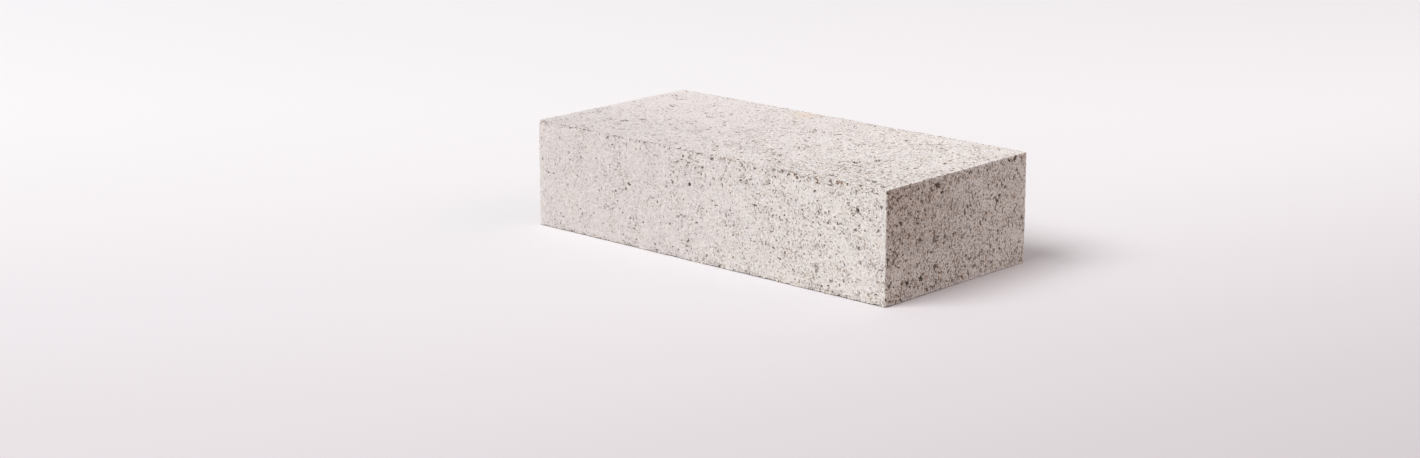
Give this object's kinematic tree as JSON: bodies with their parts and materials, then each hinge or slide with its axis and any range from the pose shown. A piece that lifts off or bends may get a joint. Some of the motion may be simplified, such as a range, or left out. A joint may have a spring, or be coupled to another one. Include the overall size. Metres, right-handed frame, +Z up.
{
  "type": "recycled brick",
  "caption": "Pale, fine-grained recycled building brick: a solid fired block with flat beds, sharp upright arrises and small open pores, for facing walls and paving.",
  "frame": {"origin": "centre of the lower bed face, at the level that the brick rests on", "axes": "+X along the length, +Y from the front long face to the back long face, +Z up, from the lower bed to the upper bed"},
  "size_m": [0.21, 0.1, 0.051],
  "materials": {
    "fired_body": "unglazed, matt, fine open grain with small pores"
  },
  "bodies": {
    "root": {"brick": "fired_body"}
  },
  "joints": []
}
